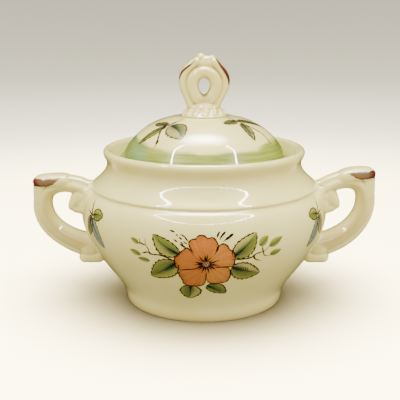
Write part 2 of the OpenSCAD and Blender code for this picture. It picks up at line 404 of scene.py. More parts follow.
def lid_glaze(name):
    """Cream glaze with a streaky green band: its edge is wavy by noise, its tone runs round the dome."""
    material, tree, shader, cream, where = glaze_tree(name)
    # bristle marks: 14 mm long round the dome and 0.9 mm apart in height
    stretch = add_node(tree, "ShaderNodeMapping", [("Vector", where)], {"Scale": (0.06, 0.06, 1.0)})
    streak = add_node(tree, "ShaderNodeTexNoise", [("Vector", stretch.outputs["Vector"])],
                      {"Scale": 900.0, "Detail": 3.0}).outputs["Fac"]
    patch = add_node(tree, "ShaderNodeTexNoise", [("Vector", where)],
                     {"Scale": 48.0, "Detail": 2.0}).outputs["Fac"]
    place = add_node(tree, "ShaderNodeSeparateXYZ", [("Vector", where)])
    wave = add_node(tree, "ShaderNodeMath", [(0, patch)], {1: 0.006, 2: -0.003}, operation="MULTIPLY_ADD")
    ragged = add_node(tree, "ShaderNodeMath", [(0, streak), (2, wave.outputs[0])], {1: 0.0025},
                      operation="MULTIPLY_ADD")
    level = add_node(tree, "ShaderNodeMath", [(0, place.outputs["Z"]), (1, ragged.outputs[0])],
                     operation="ADD").outputs[0]
    # the band climbs towards the sides, more on the left
    for side, climb in ((-1, 0.0045), (1, 0.0022)):
        rise = add_node(tree, "ShaderNodeMapRange", [("Value", place.outputs["X"])],
                        {"From Min": side * 0.016, "From Max": side * 0.040, "To Max": -climb},
                        interpolation_type="SMOOTHSTEP").outputs["Result"]
        level = add_node(tree, "ShaderNodeMath", [(0, level), (1, rise)], operation="ADD").outputs[0]
    cover = add_node(tree, "ShaderNodeMapRange", [("Value", level)],
                     {"From Min": (BAND_TOP + 1.7) * MM, "From Max": (BAND_TOP - 0.5) * MM},
                     interpolation_type="SMOOTHSTEP").outputs["Result"]
    green = set_ramp(add_node(tree, "ShaderNodeValToRGB", [("Fac", streak)]),
                     [(0.30, rgba("#65711F")), (0.48, rgba("#7E882E")), (0.70, rgba("#989E44"))])
    # patches lean to blue-green, and the wash is deepest at the lid's edge
    bluish = set_ramp(add_node(tree, "ShaderNodeValToRGB", [("Fac", patch)]),
                      [(0.50, (0, 0, 0, 1)), (0.72, (0.6, 0.6, 0.6, 1))])
    tone = mixed(tree, bluish.outputs["Color"], green.outputs["Color"], rgba("#6E9068"))
    deep = add_node(tree, "ShaderNodeMapRange", [("Value", level)],
                    {"From Min": 0.0795, "From Max": 0.0745, "To Max": 0.75}).outputs["Result"]
    tone = mixed(tree, deep, tone, rgba("#66762C"))
    on_dome = add_node(tree, "ShaderNodeMath", [(0, cover), (1, attribute_socket(tree, "dome"))],
                       operation="MULTIPLY").outputs[0]
    # the pool and shade value deepens the cream towards amber: glaze pooling with painted shade
    pool_and_shade_tone = mixed(tree, attribute_socket(tree, "pool_and_shade"), cream, rgba(AMBER))
    wipe_bare(tree, shader, mixed(tree, on_dome, pool_and_shade_tone, tone))
    return material


lid_height, lid_radius = points[:, 2], np.hypot(points[:, 0], points[:, 1])
# painted shade and glaze pooling: the glaze is deepened towards amber in the angle round the finial's foot
pool_and_shade = 0.4 * np.exp(-((lid_radius - 12) / 1.1) ** 2) * (lid_height > 93)
# the outer dome takes the band; the face that sits on the ledge is left bare
ring_radius = lid_radius[:-2:TURN_COLS]
on_dome = np.arange(len(ring_radius)) >= np.argmax(ring_radius) - 1
dome = np.append(np.repeat(on_dome, TURN_COLS) * 1.0, (0.0, 1.0))
bare = ((np.abs(lid_height - SEAT_Z) < 0.25) & (lid_radius > SEAT_R + 0.1)) * 1.0
lid = make_mesh("glazed_lid", points * MM, faces, layers={"pool_and_shade": pool_and_shade, "dome": dome, "bare": bare})
lid.data.materials.append(lid_glaze("cream_glaze_with_brushed_green_band"))
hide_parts("lid")
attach(lid, "lid_assembly")

# %% [markdown]
# ## Modelled clay: handles and finial
# These are cast forms with soft edges, where several rolls of clay run into one another. Each roll is a
# section carried along a path. The rolls are joined and made one skin by a voxel remesh, as a sculptor would
# merge clay, and then smoothed, which rounds every meeting line as glaze does.

# %% Sweeps
def side_frames(path):
    """Tangents along a flat path in x and z, and the normal on its left, both unit length."""
    t = np.gradient(path, axis=0)
    t /= np.linalg.norm(t, axis=1, keepdims=True)
    return t, np.stack([-t[:, 1], t[:, 0]], 1)


def clay_roll(path, half_width, half_depth, flutes=(), squareness=2.4, cols=72, closed=False):
    """Carries a superellipse section along a flat path.

    At angle a the section is w = sgn(cos a) |cos a|^(2/q) across the path and
    d = sgn(sin a) |sin a|^(2/q) front to back. Each flute (place, width, depth) lowers d
    by depth * exp(-((w - place) / width)^2), which presses a groove along the roll.
    """
    path = np.asarray(path, float)
    rows = len(path)
    if closed:
        t = np.roll(path, -1, 0) - np.roll(path, 1, 0)
        t /= np.linalg.norm(t, axis=1, keepdims=True)
        normal = np.stack([-t[:, 1], t[:, 0]], 1)
    else:
        t, normal = side_frames(path)
    a = np.linspace(0, 2 * math.pi, cols, endpoint=False)
    w = np.sign(np.cos(a)) * np.abs(np.cos(a)) ** (2 / squareness)
    d = np.sign(np.sin(a)) * np.abs(np.sin(a)) ** (2 / squareness)
    for place, width, depth in flutes:
        d = d * (1 - depth * np.exp(-((w - place) / width) ** 2))
    across = np.broadcast_to(np.asarray(half_width, float).reshape(-1, 1), (rows, 1)) * w
    front = np.broadcast_to(np.asarray(half_depth, float).reshape(-1, 1), (rows, 1)) * d
    x = path[:, :1] + normal[:, :1] * across
    z = path[:, 1:] + normal[:, 1:] * across
    points = np.stack([x, -front, z], -1).reshape(-1, 3)
    if closed:
        ring = grid_faces(rows + 1, cols, True) % (rows * cols)
        return points, [ring]
    ends = np.array([[path[0, 0], 0, path[0, 1]], [path[-1, 0], 0, path[-1, 1]]])
    faces = [grid_faces(rows, cols, True), fan_faces(np.arange(cols), rows * cols, True),
             fan_faces(np.arange(cols) + (rows - 1) * cols, rows * cols + 1, False)]
    return np.concatenate([points, ends]), faces


def clay_ball(centre, radii, n=28):
    """Ellipsoid: centre + radii * (cos b cos a, cos b sin a, sin b), closed with a fan at each pole."""
    b = np.linspace(-math.pi / 2, math.pi / 2, n)[1:-1, None]
    a = np.linspace(0, 2 * math.pi, n, endpoint=False)[None]
    unit = np.stack([np.cos(b) * np.cos(a), np.cos(b) * np.sin(a), np.sin(b) + 0 * a], -1).reshape(-1, 3)
    unit = np.concatenate([unit, [[0, 0, -1], [0, 0, 1]]])
    rows = n - 2
    faces = [grid_faces(rows, n, True), fan_faces(np.arange(n), rows * n, True),
             fan_faces(np.arange(n) + (rows - 1) * n, rows * n + 1, False)]
    return np.asarray(centre) + unit * np.asarray(radii), faces


def round_roll(beads, squareness, flutes=()):
    """A roll through beads (x, z, half width, half depth), eased between them, with rounded ends."""
    beads = np.asarray(beads, float)
    run = np.concatenate([[0], np.cumsum(np.hypot(*np.diff(beads[:, :2], axis=0).T))])
    at = np.linspace(0, run[-1], max(24, int(run[-1] / 0.5)))
    smooth = np.stack([np.interp(at, run, beads[:, k]) for k in range(4)], 1)
    for _ in range(int(6 * len(beads))):
        smooth[1:-1] = (smooth[:-2] + 2 * smooth[1:-1] + smooth[2:]) / 4
    to_end = np.minimum(at, run[-1] - at)
    dome = np.sqrt(np.clip(1 - (1 - np.clip(to_end / smooth[:, 2], 0, 1)) ** 2, 0.02, 1))
    return clay_roll(smooth[:, :2], smooth[:, 2] * dome, smooth[:, 3] * (0.35 + 0.65 * dome),
                     flutes, squareness)


def one_skin(name, parts, voxel, passes):
    """Joins closed parts, remeshes them as one skin with even voxels (mm) and smooths it; returns the mesh."""
    count, all_points, all_faces = 0, [], []
    for points, faces in parts:
        all_points.append(points)
        all_faces += [f + count for f in faces]
        count += len(points)
    rough = make_mesh(name + "_rough", np.concatenate(all_points), all_faces)
    skin = rough.modifiers.new("one_skin", "REMESH")
    skin.mode, skin.voxel_size, skin.use_smooth_shade = "VOXEL", voxel, True
    ease = rough.modifiers.new("ease", "SMOOTH")
    ease.factor, ease.iterations = 0.5, passes
    merged = bpy.data.meshes.new_from_object(rough.evaluated_get(bpy.context.evaluated_depsgraph_get()))
    bpy.data.objects.remove(rough)
    merged.name = name
    print(f"{name}: {len(merged.vertices)} points in one skin")
    return merged


def hollow_pool_and_shade(mesh, points, scale, rounds):
    """Where glaze pools and painted shade darkens hollows: how far a point lies below the average of its
    neighbours, spread over some rounds.
    """
    edges = np.empty(len(mesh.edges) * 2, np.int32)
    mesh.edges.foreach_get("vertices", edges)
    a, b = edges.reshape(-1, 2).T
    degree = np.maximum(np.bincount(np.concatenate([a, b]), minlength=len(points)), 1)[:, None]

    def neighbours(values):
        total = np.zeros_like(values)
        np.add.at(total, a, values[b])
        np.add.at(total, b, values[a])
        return total / degree

    wide = points
    for _ in range(rounds):
        wide = neighbours(wide)
    depth = ((wide - points) * mesh_normals(mesh)).sum(1, keepdims=True)
    for _ in range(3):
        depth = neighbours(depth)
    return np.clip(depth[:, 0] / scale, -0.3, 1)


def finish_skin(name, mesh, points, pool_and_shade, stain):
    """Makes a sculpted skin a finished piece: its points in metres, its values painted and its glaze on."""
    mesh.vertices.foreach_set("co", (points * MM).astype(np.float32).ravel())
    mesh.update()
    paint_values(mesh, "pool_and_shade", pool_and_shade)
    paint_values(mesh, "stain", stain)
    mesh.shade_smooth()
    mesh.materials.clear()
    mesh.materials.append(glazed_cream)
    piece = bpy.data.objects.new(name, mesh)
    bpy.context.scene.collection.objects.link(piece)
    return piece


# %% [markdown]
# ## The handles
# Each handle is a scroll: an arm that springs from the shoulder, turns over and comes back low on the belly,
# a leaf-shaped thumb rest lying on its crest, a curl under the shoulder and a stepped pad at the foot. Two
# flutes run along the arm. The pair was luted on by eye, so one thumb rest sits lower than the other. Where
# the clay meets the bowl it flares, as slip does when it is wiped round a join.

# %% Handles
def bowl_radius(z):
    """Outer radius of the bowl at a height."""
    line = outside[2:]
    order = np.argsort(line[:, 1], kind="stable")
    return np.interp(z, line[order, 1], line[order, 0])


CREST_X, CREST_RUN, ROOT_Z, ROOT_RISE = 66, 20, 27, 38


def by_eye(x, lift):
    """How far a handle's crest is raised at x: a raised one climbs to its tip, a dropped one sinks evenly."""
    return lift * np.clip((x - (CREST_X if lift > 0 else BELLY_R - 6)) / CREST_RUN, 0, 1)


def set_by_eye(points, lift):
    """Raises the outer, upper clay; the shift fades to nothing at the lower root."""
    up = np.clip((points[:, 2] - ROOT_Z) / ROOT_RISE, 0, 1)
    return points + np.stack([0 * up, 0 * up, by_eye(points[:, 0], lift) * up], 1)


def arm_path():
    """The middle line of the arm: out over the crest, round and back low on the belly."""
    return along(np.concatenate([bezier([57.5, 54.6], [66.6, 65.6], [84.9, 66.4], [84.9, 51.5], 50),
                                 bezier([84.9, 51.5], [84.9, 38], [70.9, 29], [57.5, 27.2], 50)[1:]]), 130)


def handle_parts():
    """The rolls of one right-hand handle, in millimetres."""
    arm = arm_path()
    u = np.linspace(0, 1, len(arm))
    width = 4.85 + np.where(u > 0.4, 3.2 * (u - 0.4), -0.15)
    depth = 5.5 + 0.5 * np.clip((u - 0.7) / 0.3, 0, 1)
    # across the arm, minus is the inner edge of the loop: an inner bead, a broad band and an outer rib
    arm_roll = clay_roll(arm, width, depth, [(0.48, 0.26, 0.22), (-0.62, 0.22, 0.10)], 2.3)
    thumb_rest = round_roll([(69.5, 63.6, 3.6, 5.8), (76, 65.0, 3.8, 6.3), (81.5, 64.7, 3.9, 6.4),
                             (86.0, 64.6, 3.4, 6.0), (89.6, 65.2, 2.0, 4.8)], 2.8)
    web = round_roll([(85.2, 67.2, 4.2, 5.0), (85.1, 61, 4.5, 5.2), (85.1, 55, 4.6, 5.2), (85.0, 50, 4.6, 5.3)],
                     2.4, [(0.5, 0.2, 0.12)])
    curl = round_roll([(61.0, 59, 5.2, 5.5), (65.4, 55.8, 4.6, 5.4), (67.9, 52.2, 3.5, 5.1),
                       (69.2, 50.0, 2.5, 4.7), (70.9, 48.2, 1.7, 4.0)], 2.4)
    curl_heel = round_roll([(59.5, 54, 5.4, 5.4), (62.5, 50.4, 4.8, 5.2), (66.2, 48.7, 3.3, 4.8),
                            (70.0, 48.9, 2.0, 4.2)], 2.4)
    cheek = clay_ball((65.4, 0, 52.4), (4.1, 5.1, 4.3))
    pad = round_roll([(66.6, 21.5, 2.9, 5.9), (61.5, 21.7, 3.2, 6.2), (52.5, 22.4, 3.8, 6.3)], 2.8)
    step = round_roll([(66.0, 27.0, 3.6, 6.0), (61, 26.5, 5.0, 6.3), (54.5, 28, 6.2, 6.3)], 2.6)
    return [arm_roll, thumb_rest, web, curl, curl_heel, cheek, pad, step]


FLARE, FLARE_REACH, ROOT_DEPTH = 1.15, 3.2, 1.0


def finish_handle(name, lift, sign):
    """Makes a handle: one skin, flared where it meets the bowl and cut off just inside the bowl's surface."""
    parts = [(set_by_eye(p, lift), f) for p, f in handle_parts()]
    mesh = one_skin(name, parts, voxel=0.36, passes=9)
    points, normals = mesh_points(mesh), mesh_normals(mesh)
    radius = np.hypot(points[:, 0], points[:, 1])
    proud = radius - bowl_radius(points[:, 2])
    outward = points * [1, 1, 0] / np.maximum(radius, 1)[:, None]
    sideways = normals - outward * (normals * outward).sum(1, keepdims=True)
    flare = FLARE * np.clip(1 - proud / FLARE_REACH, 0, 1) ** 2 * (proud > -1.5)
    points = points + sideways * flare[:, None]
    radius = np.hypot(points[:, 0], points[:, 1])
    root = bowl_radius(points[:, 2]) - ROOT_DEPTH
    scale = np.where(radius < root, root / np.maximum(radius, 1), 1)
    points[:, :2] *= scale[:, None]
    # painted shade with glaze pooling: the handle's hollows are deepened towards amber
    pool_and_shade = hollow_pool_and_shade(mesh, points, 0.34, 16)
    # painted shade: the glaze is deepened towards amber along the middle of the arm's lower half, where glaze
    # also runs down the arm and lies thickest
    arm = arm_path()
    t, across = side_frames(arm)
    gap = points[:, None, ::2] - arm[None]
    near = (gap**2).sum(2).argmin(1)
    offset = (gap[np.arange(len(points)), near] * across[near]).sum(1)
    run = near / (len(arm) - 1)
    pool_and_shade = np.maximum(pool_and_shade, 0.75 * np.exp(-((offset + 1.5) / 2.6) ** 2) * np.clip((run - 0.25) / 0.45, 0, 1)
                      * np.clip((1.02 - run) / 0.12, 0, 1) * (np.abs(points[:, 1]) > 3))
    # brown brushed on the side of the thumb rest, with an uneven edge
    x, z = points[:, 0], points[:, 2] - by_eye(points[:, 0], lift)
    ripple = 0.12 * np.sin(1.9 * x) + 0.1 * np.sin(3.1 * x + 1)
    low = 62.6 + 4.3 * np.clip((82.2 - x) / 7.6, 0, 1) ** 1.7 + ripple
    edge = np.minimum(67.0 + 0.5 * ripple - z, z - low)
    # thin and paler in the middle of the stroke, heavy at its outline and at the tip
    heavy = np.clip(1.2 - edge / 1.0, 0, 1) + np.clip((x - 84.5) / 3, 0, 1)
    stain = np.clip(edge / 0.4 + 0.3, 0, 1) * (np.abs(points[:, 1]) > 2.2) * (0.86 + 0.14 * np.clip(heavy, 0, 1))
    points[:, 0] *= sign
    if sign < 0:
        mesh.flip_normals()
    return finish_skin(name, mesh, points, np.clip(pool_and_shade, 0, 0.75), stain)


SET_BY_EYE = 2.1
right_scroll = finish_handle("right_scroll_handle", SET_BY_EYE, 1)
left_scroll = finish_handle("left_scroll_handle", -SET_BY_EYE, -1)
for piece, node in ((right_scroll, "right_handle"), (left_scroll, "left_handle")):
    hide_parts(node)
    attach(piece, "crock")

# %% [markdown]
# ## The finial
# The knob is a looped ribbon. A round ring stands proud round a drop-shaped eye, and outside it two flat
# ribbons climb to a pair of small bumps. A collar with a ring of little leaf scales hides the joint with the lid.

# %% Finial
def finial_parts():
    """The rolls of the finial, in millimetres, with z measured from the lid's flat land."""
    left = [(-2.0, 28.6), (-6.0, 26.4), (-9.2, 23.8), (-10.8, 20.8), (-11.1, 18.6), (-10.8, 15.9), (-9.8, 13.0),
            (-7.8, 9.0), (-6.4, 5.4), (-6.0, 2.0)]
    right = [(3.0, 28.8), (6.6, 26.1), (9.1, 23.3), (11.0, 20.4), (11.4, 17.9), (11.1, 15.9), (9.7, 12.4),
             (7.3, 8.7), (5.6, 5.2), (5.2, 2.0)]
    parts = [round_roll([(x, z, 2.25, 3.9 + 0.06 * max(0, 16 - z)) for x, z in side], 2.4)
             for side in (left, right)]
    # the crown is one soft mass with two low bumps, the left one higher
    parts += [clay_ball((0.6, 0, 26.4), (6.6, 3.9, 3.9)), clay_ball((0.8, 0, 28.3), (4.7, 3.5, 2.3)),
              clay_ball((-1.7, 0, 29.6), (2.3, 3.1, 2.2)), clay_ball((3.9, 0, 29.0), (2.0, 2.9, 1.9))]
    t = np.linspace(0, 2 * math.pi, 96, endpoint=False)
    # drop outline: narrower and longer towards the bottom
    drop = np.stack([6.65 * np.sin(t) * (1 - 0.19 * (1 - np.cos(t)) / 2),
                     15.0 + np.where(np.cos(t) > 0, 7.4, 7.5) * np.cos(t)], 1)
    parts.append(clay_roll(drop, 3.15, 5.6, squareness=2.7, closed=True))
    line = np.array([[0, 0], [12.2, 0], [12.0, 0.7], [10.0, 1.7], [8.6, 3.2], [7.3, 5.2], [5.2, 7.6], [0, 7.6]])
    collar, faces = turn_profile(soften(line, 0.8), 96)
    parts.append((collar, faces))
    for reach, high, count, size in ((9.9, 1.4, 13, 1.7), (8.6, 2.9, 12, 1.5), (7.2, 4.6, 11, 1.3)):
        for angle in np.linspace(0, 2 * math.pi, count, endpoint=False) - math.pi / 2 + 0.2 * reach:
            parts.append(clay_ball((reach * math.cos(angle), reach * math.sin(angle), high),
                                   (size, size, 0.75 * size), 14))
    return parts


finial_mesh = one_skin("looped_ribbon_finial", finial_parts(), voxel=0.30, passes=7)
points = mesh_points(finial_mesh)
points[:, 2] = np.maximum(points[:, 2], -0.6)
# painted shade: the finial's glaze is deepened a little towards amber all over and more in its hollows, where
# glaze also pools
pool_and_shade = 0.24 + hollow_pool_and_shade(finial_mesh, points, 0.55, 14)
# painted shade deepens the lower end of the eye to amber, where a thick pool of glaze also lies
pool_and_shade += 0.75 * np.exp(-(points[:, 0] / 2.8) ** 2 - ((points[:, 2] - 9.4) / 2.2) ** 2)
right_stroke = ease_line([(5.9, 29.0), (8.0, 26.1), (10.4, 22.9), (11.9, 20.2), (12.5, 18.1), (12.4, 16.4)], 40)
left_stroke = ease_line([(-4.0, 28.8), (-7.1, 26.0), (-10.3, 23.4), (-11.7, 21.4), (-12.5, 19.0)], 40)
stain = np.zeros(len(points))
for stroke, heavy in ((right_stroke, 0.62), (left_stroke, 0.38)):
    # the brush is pressed down and lifted: its half width swells from a point and shrinks again
    brush = 0.12 + heavy * np.sin(np.linspace(0.05, math.pi - 0.25, len(stroke))) ** 0.8
    away = np.linalg.norm(points[:, None, ::2] - stroke[None], axis=2) / brush[None]
    stain = np.maximum(stain, np.clip((1.3 - away.min(1)) / 0.35, 0, 1) * (np.abs(points[:, 1]) > 0.6))
points[:, 2] += LAND_Z
finial = finish_skin("looped_ribbon_finial", finial_mesh, points, np.clip(pool_and_shade, 0, 0.8), stain)
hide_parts("lid_finial")
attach(finial, "lid_assembly")

# %% [markdown]
# ## The painted flowers
# The decoration is ceramic colour laid on by hand in washes and then outlined with a fine brush. It has a
# body of its own under the clear glaze, so each wash and each brush line becomes a thin film that lies on the
# clay. A motif is drawn flat in millimetres and then wrapped on the turned form: across becomes an angle
# round the axis, and up becomes a length along the profile.

# %% Wrapping a flat drawing on the bowl and the lid
outer_run = soften(outside[:-8], GLAZE_ROUNDING)
outer_run = outer_run[:int(np.argmax(outer_run[:, 1]))]
run_length = np.concatenate([[0], np.cumsum(np.hypot(*np.diff(outer_run, axis=0).T))])
dome_run = lid_line[int(np.argmax(lid_line[:, 0])):]


NUDGE = 0.1


def profile_frame(line, run, at):
    """Point and outward normal of a profile at a running length, by interpolation and a small difference."""
    before, (r, z), after = ([np.interp(at + step, run, line[:, k]) for k in (0, 1)]
                             for step in (-NUDGE, 0, NUDGE))
    dr, dz = after[0] - before[0], after[1] - before[1]
    size = np.hypot(dr, dz) + 1e-9
    return r, z, dz / size, -dr / size


def on_bowl(facing, z_zero):
    """A wrap: angle = facing + across / radius there, and up is counted along the profile from z_zero."""
    start = np.interp(z_zero, outer_run[:, 1], run_length)

    def wrap(flat, lift):
        r, z, nr, nz = profile_frame(outer_run, run_length, start + flat[:, 1])
        a = math.radians(facing) + flat[:, 0] / r
        r = r * oval(a) + nr * lift
        return np.stack([r * np.cos(a), r * np.sin(a), z + nz * lift], 1)
    return wrap


def on_lid(turn):
    """A wrap from a plan drawing seen from above: the point goes straight up to the dome."""
    def wrap(flat, lift):
        c, s = math.cos(math.radians(turn)), math.sin(math.radians(turn))
        x, y = flat[:, 0] * c - flat[:, 1] * s, flat[:, 0] * s + flat[:, 1] * c
        r = np.hypot(x, y)
        a = np.arctan2(y, x)
        z = np.interp(-r, -dome_run[:, 0], dome_run[:, 1])
        slope = (np.interp(-r - NUDGE, -dome_run[:, 0], dome_run[:, 1]) - z) / NUDGE
        size = np.sqrt(1 + slope**2)
        out = r * oval(a, np.clip(r / OVAL_FULL_R, 0, 1)) - slope / size * lift
        return np.stack([out * np.cos(a), out * np.sin(a), z + lift / size], 1)
    return wrap


# %% [markdown]
# ### Washes and brush lines
# A leaf is a function of two parameters: along its rib and across it. A petal runs from the heart to its
# scalloped outline. A brush line is a ribbon whose width swells and tapers. Each returns flat points and
# colours, one for every grid point, so a wash can shade from yellow-green to blue-green as wet colour does.

# %% Leaf, petal and brush line
GREEN = {name: linear(c) for name, c in dict(
    pale="#C2B45E", light="#A4A242", mid="#787F30", deep="#485324", teal="#2B4A34", dark="#16220F",
    grey="#98A090").items()}
ORANGE = {name: linear(c) for name, c in dict(light="#D8903E", mid="#C0702A", deep="#93420F").items()}
INK = {name: linear(c) for name, c in dict(
    brown="#34130F", black="#160C0C", plum="#3C1428", lilac="#63405F", white="#E8E0CC").items()}


def waver(x, seed):
    """A smooth, repeatable unevenness of the hand: three sines of unlike pitch, about -1 to 1."""
    return (np.sin(1.0 * x + seed) + 0.6 * np.sin(2.3 * x + 2.1 * seed) + 0.4 * np.sin(5.1 * x + 0.7 * seed)) / 2


def blend(first, second, amount):
    """From the first colour to the second as the amount goes from 0 to 1."""
    amount = np.clip(amount, 0, 1)[..., None]
    return first * (1 - amount) + second * amount


def leaf(base, tip, left, right, sides=("light", "mid"), bend=0.0, rib=1.0, seed=0.0, rows=44, cols=25):
    """A leaf wash, along its rib by u and across it by v.

    point = base + (tip - base) u + side * (bend 4u(1-u) + v * half width * sin(pi u^0.8)^0.75)
    """
    base, tip = np.array(base, float), np.array(tip, float)
    u = np.linspace(0.004, 0.996, rows)[:, None]
    v = np.linspace(-1, 1, cols)[None]
    axis = tip - base
    side = np.array([-axis[1], axis[0]]) / np.linalg.norm(axis)
    middle = base + axis * u[..., None] + side * (bend * 4 * u * (1 - u))[..., None]
    swell = np.sin(math.pi * u**0.8) ** 0.75 * (1 + 0.05 * v**2 * np.sin(2 * math.pi * 8 * u + seed))
    flat = middle + side * (v * np.where(v > 0, left, right) * swell)[..., None]
    wash = 0.5 + 0.4 * waver(7 * u + 2 * v, seed) + 0.2 * waver(19 * u - 5 * v, seed + 1)
    tone_left = blend(GREEN[sides[0]], GREEN["mid"], 0.55 * wash)
    tone_right = blend(GREEN[sides[1]], GREEN["deep"], 0.35 * wash)
    colour = np.where((v > 0)[..., None], tone_left, tone_right)
    colour = blend(colour, GREEN["pale"], 0.55 * np.clip((np.abs(v) - 0.55) / 0.45, 0, 1) * (0.6 + 0.4 * wash))
    near_rib = np.exp(-((v - 0.12) / (0.12 + 0.34 * (1 - u))) ** 2) * (0.30 + 0.70 * (1 - u))
    colour = blend(colour, GREEN["teal"], rib * near_rib)
    near_base = np.exp(-(v / 0.30) ** 2) * np.clip(1 - u / 0.45, 0, 1)
    colour = blend(colour, GREEN["dark"], rib * 0.9 * near_base)
    return flat, colour


def petal(outline, tone, seed, rows=30, cols=90):
    """A petal wash: point = heart + b * outline(t), with streaks that run out from the heart."""
    edge = ease_line(outline, cols)
    b = np.linspace(0.06, 1, rows)[:, None]
    t = np.linspace(0, 1, cols)[None]
    flat = edge[None] * b[..., None]
    streaks = 0.5 + 0.5 * waver(26 * t + 1.5 * b, seed) + 0.35 * waver(61 * t + b, seed + 2)
    colour = blend(ORANGE["light"], ORANGE["mid"], tone + 0.7 * (streaks - 0.3))
    rim = np.clip((b - 0.80) / 0.2, 0, 1) * 0.5 + np.clip(1 - np.minimum(t, 1 - t) / 0.05, 0, 1) * 0.45 * b
    colour = blend(colour, ORANGE["deep"], rim * (0.6 + 0.5 * streaks))
    return flat, blend(colour, ORANGE["deep"], 0.55 * np.clip(1 - b / 0.42, 0, 1) * streaks)


def brush(points, width, ink="brown", taper=(0.3, 0.3), seed=0.0, broken=0.0):
    """A brush line: a ribbon of the given width in mm, uneven by hand, drawn thin at its ends."""
    points = np.asarray(points, float)
    length = np.linalg.norm(np.diff(points, axis=0), axis=1).sum()
    line = ease_line(points, max(6, int(length / 0.3)))
    t = np.gradient(line, axis=0)
    t /= np.linalg.norm(t, axis=1, keepdims=True) + 1e-9
    side = np.stack([-t[:, 1], t[:, 0]], 1)
    s = np.linspace(0, 1, len(line))
    ends = np.clip(s / max(taper[0], 1e-3), 0.25, 1) * np.clip((1 - s) / max(taper[1], 1e-3), 0.25, 1)
    press = 1 + 0.25 * waver(length * s * 1.1, seed)
    if broken:
        press = press * np.clip(0.75 + broken * waver(length * s * 2.3, seed + 3), 0.15, 1.5)
    half = 0.5 * width * ends * press
    flat = line[:, None] + side[:, None] * (np.array([-1, 0, 1])[None, :, None] * half[:, None, None])
    return flat, np.broadcast_to(INK[ink], (*flat.shape[:2], 3)) * 1.0


def edge_of(wash, across):
    """One side of a leaf wash, for its outline."""
    return wash[0][:, across]


# %% Films from flat washes
FILM_THICKNESS, FILM_STEP = 0.12, 0.006
enamel, tree, shader = start_material("hand_painted_ceramic_colour",
                                      {"Roughness": 0.35, "Specular IOR Level": 0.25, **COAT})
where = add_node(tree, "ShaderNodeTexCoord").outputs["Object"]
# pigment gathers in grains about 0.8 mm across as a wash dries
grain = add_node(tree, "ShaderNodeTexNoise", [("Vector", where)], {"Scale": 1200.0, "Detail": 3.0})
thin = set_ramp(add_node(tree, "ShaderNodeValToRGB", [("Fac", grain.outputs["Fac"])]),
                [(0.3, (0.78, 0.78, 0.78, 1)), (0.7, (1, 1, 1, 1))])
paint = attribute_socket(tree, "paint", "Color")
laid = add_node(tree, "ShaderNodeMix", [(6, paint), (7, thin.outputs["Color"])], {0: 1.0},
                data_type="RGBA", blend_type="MULTIPLY")
tree.links.new(laid.outputs[2], shader.inputs["Base Color"])


def film(name, washes, wrap, lift, body):
    """Wraps washes on the clay at a height of lift mm, one mesh for the set, and gives it a real thickness."""
    points, colours, faces, count = [], [], [], 0
    for i, (flat, colour) in enumerate(washes):
        rows, cols = flat.shape[:2]
        a, b, c = flat[rows // 2, cols // 2], flat[rows // 2, cols // 2 + 1], flat[rows // 2 + 1, cols // 2]
        turning = (b - a)[0] * (c - a)[1] - (b - a)[1] * (c - a)[0]
        quads = grid_faces(rows, cols, False, count)
        faces.append(quads if turning > 0 else quads[:, ::-1])
        # neighbours lie a hair apart, so that no two films share a height where they cross
        points.append(wrap(flat.reshape(-1, 2), lift + FILM_STEP * (i % 5)))
        colours.append(colour.reshape(-1, 3))
        count += rows * cols
    piece = make_mesh(name, np.concatenate(points) * MM, faces, np.concatenate(colours))
    piece.data.materials.append(enamel)
    # the rim of a film is a sharp step, so its top keeps the normals of the clay under it
    edge_use = np.empty(len(piece.data.loops), np.int32)
    piece.data.loops.foreach_get("edge_index", edge_use)
    rim = np.bincount(edge_use, minlength=len(piece.data.edges)) == 1
    piece.data.attributes.new("sharp_edge", "BOOLEAN", "EDGE").data.foreach_set("value", rim)
    wall = piece.modifiers.new("film_thickness", "SOLIDIFY")
    wall.thickness, wall.offset = FILM_THICKNESS * MM, -1.0
    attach(piece, body)
    return piece


# %% [markdown]
# ### The front spray
# One orange five-petalled flower sits among six leaves, with green buds on brown twigs to either side and dark
# stamens between the upper leaves. The same spray is repeated on the back.

# %% Front spray
FLOWER_Z, SPRIG_Z = 36.6, 52.6
SPRAY_SHIFT = (0.7, 0.2)
WASH_LIFT, PETAL_LIFT, LINE_LIFT, SPRAY_LINE_LIFT = 0.03, 0.07, 0.09, 0.11
PETALS = [  # scalloped outlines in mm from the heart, then how deep the orange is and a seed for its streaks
    ([(-12.1, -3.6), (-12.7, -6.8), (-11.1, -10.4), (-10.6, -13.0), (-8.2, -15.0), (-4.1, -15.0), (-1.7, -14.3),
      (-0.1, -12.0)], 0.75, 1.0),
    ([(0.3, -9.9), (1.3, -12.0), (3.7, -13.6), (6.4, -12.9), (9.7, -11.7), (11.2, -8.4), (11.3, -4.4),
      (10.4, -2.0)], 0.30, 2.0),
    ([(-5.4, 5.0), (-7.8, 8.4), (-9.2, 8.9), (-11.6, 6.8), (-14.2, 3.9), (-14.7, 1.2), (-13.7, -2.1),
      (-12.1, -3.7)], 0.95, 3.0),
    ([(11.0, -2.0), (12.8, -1.0), (13.2, 1.4), (13.4, 4.6), (12.4, 6.8), (10.8, 8.0), (9.8, 9.8), (8.2, 10.9),
      (6.4, 10.5), (5.1, 9.0), (3.8, 5.9)], 0.40, 4.0),
    ([(4.0, 5.6), (5.4, 8.6), (5.4, 10.6), (4.3, 12.9), (2.8, 14.1), (0.9, 13.6), (-0.1, 14.3), (-1.9, 15.2),
      (-4.0, 14.5), (-4.8, 13.3), (-6.7, 13.0), (-7.9, 10.9), (-5.2, 5.0)], 0.85, 5.0),
]
